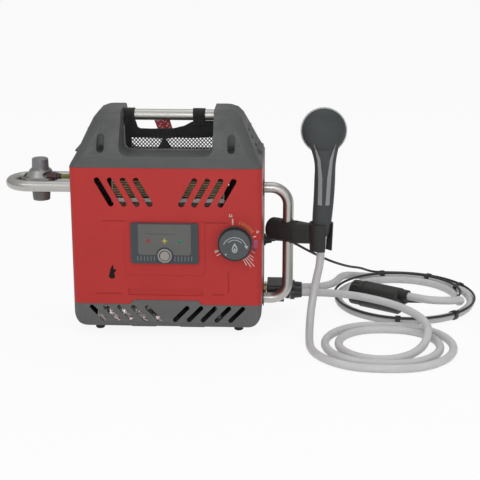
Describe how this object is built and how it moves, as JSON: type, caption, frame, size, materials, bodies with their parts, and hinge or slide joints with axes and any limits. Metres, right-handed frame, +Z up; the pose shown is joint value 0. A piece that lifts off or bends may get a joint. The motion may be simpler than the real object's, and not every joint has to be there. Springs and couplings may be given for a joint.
{
  "type": "portable propane water heater",
  "caption": "Portable gas water heater with a carry rail, gas regulator on a side loop, shower handset in a clamp holder, coiled hoses and a small submersible pump.",
  "frame": {"origin": "on the floor under the middle of the heater, its side loop and its handset", "axes": "+X to the right seen from the front, +Y to the back, +Z up; the control panel faces -Y"},
  "size_m": [0.845, 0.498, 0.3874],
  "materials": {
    "red_paint": "satin",
    "dark_moulding": "matt",
    "black_rubber": "matt",
    "screw_steel": "satin",
    "window_black": "gloss",
    "frame_black": "satin",
    "label_print": "satin",
    "lens_plastic": "gloss",
    "button_plastic": "satin",
    "board_green": "satin",
    "dial_black": "satin",
    "plain_steel": "brushed",
    "valve_alloy": "cast",
    "tube_alloy": "satin",
    "copper": "satin",
    "foil": "bright",
    "battery_case": "matt",
    "coupling_black": "satin",
    "brass": "satin",
    "socket_black": "satin",
    "zinc": "cast",
    "cap_red": "satin",
    "gas_hose_rubber": "satin",
    "webbing": "woven",
    "red_webbing": "woven",
    "holder_black": "satin",
    "handset_grey": "satin",
    "inlay_grey": "satin",
    "face_grey": "satin",
    "white_nut": "satin",
    "hose_vinyl": "satin",
    "cable_black": "satin",
    "pump_black": "satin"
  },
  "bodies": {
    "case": {"front_panel": "red_paint", "rear_shell": "dark_moulding", "top_cover": "dark_moulding", "base_tray": "dark_moulding", "rubber_feet": "black_rubber", "side_grommets": "black_rubber", "case_screws": "screw_steel", "sight_window": "window_black", "display_frame": "frame_black", "display_label": "label_print", "status_lights": "lens_plastic", "button_ring": "button_plastic", "control_board": "board_green", "combustion_chamber": "plain_steel", "burner": "plain_steel", "gas_valve": "valve_alloy", "carry_rail": "tube_alloy", "cylinder_loop": "tube_alloy", "storage_handle": "tube_alloy", "heat_exchanger": "copper", "copper_pipes": "copper", "foil_shield": "foil", "battery_pack": "battery_case", "water_block": "coupling_black", "hose_connectors": "coupling_black", "brass_nipples": "brass", "cylinder_socket": "brass", "gas_fitting": "brass", "power_socket": "socket_black", "cable_plug": "socket_black", "hose_clips": "socket_black", "regulator_body": "zinc", "regulator_plate": "zinc", "regulator_cap": "cap_red", "gas_hose": "gas_hose_rubber", "pouch_band": "webbing", "pouch_net": "webbing", "red_lanyard": "red_webbing", "shower_hose_drop": "hose_vinyl", "shower_hose_coil": "hose_vinyl", "shower_hose_lead": "hose_vinyl", "pump_hose_lead": "hose_vinyl", "pump_hose_coil": "hose_vinyl", "pump_hose_tail": "hose_vinyl", "cable_lead": "cable_black", "cable_coil": "cable_black", "water_pump": "pump_black", "pump_strainer": "pump_black"},
    "dial": {"temperature_dial": "dial_black", "dial_shaft": "plain_steel"},
    "button": {"power_button": "button_plastic"},
    "clamp": {"clamp_liner": "holder_black"},
    "holder": {"handset_holder": "holder_black"},
    "knob": {"clamp_knob": "holder_black"},
    "handset": {"handset_body": "handset_grey", "spray_face": "face_grey", "handset_inlays": "inlay_grey", "hose_cone_nut": "white_nut"},
    "outlet_release": {"outlet_collar": "coupling_black"},
    "inlet_release": {"inlet_collar": "coupling_black"}
  },
  "joints": [
    {"name": "dial_turn", "type": "hinge", "parent": "case", "child": "dial", "pos_m": [0.1098, -0.0933, 0.168], "axis": [0, 1, 0], "range_deg": [0, 270]},
    {"name": "button_press", "type": "slide", "parent": "case", "child": "button", "axis": [0, 1, 0], "range_m": [0, 0.002], "stiffness_N_per_m": 500},
    {"name": "clamp_slide", "type": "slide", "parent": "case", "child": "clamp", "axis": [0, 0, 1], "range_m": [0, 0.022]},
    {"name": "holder_swing", "type": "hinge", "parent": "clamp", "child": "holder", "pos_m": [0.1985, 0.0067, 0.164], "axis": [0, 0, 1], "range_deg": [-60, 90]},
    {"name": "knob_turn", "type": "hinge", "parent": "holder", "child": "knob", "pos_m": [0.17252, 0.0217, 0.164], "axis": [0.866, -0.5, 0], "range_deg": [0, 360]},
    {"name": "handset_lift", "type": "slide", "parent": "holder", "child": "handset", "axis": [0, 0, 1], "range_m": [0, 0.06]},
    {"name": "outlet_release_push", "type": "slide", "parent": "case", "child": "outlet_release", "axis": [-1, 0, 0], "range_m": [0, 0.0025], "stiffness_N_per_m": 600},
    {"name": "inlet_release_push", "type": "slide", "parent": "case", "child": "inlet_release", "axis": [-1, 0, 0], "range_m": [0, 0.0025], "stiffness_N_per_m": 600}
  ]
}
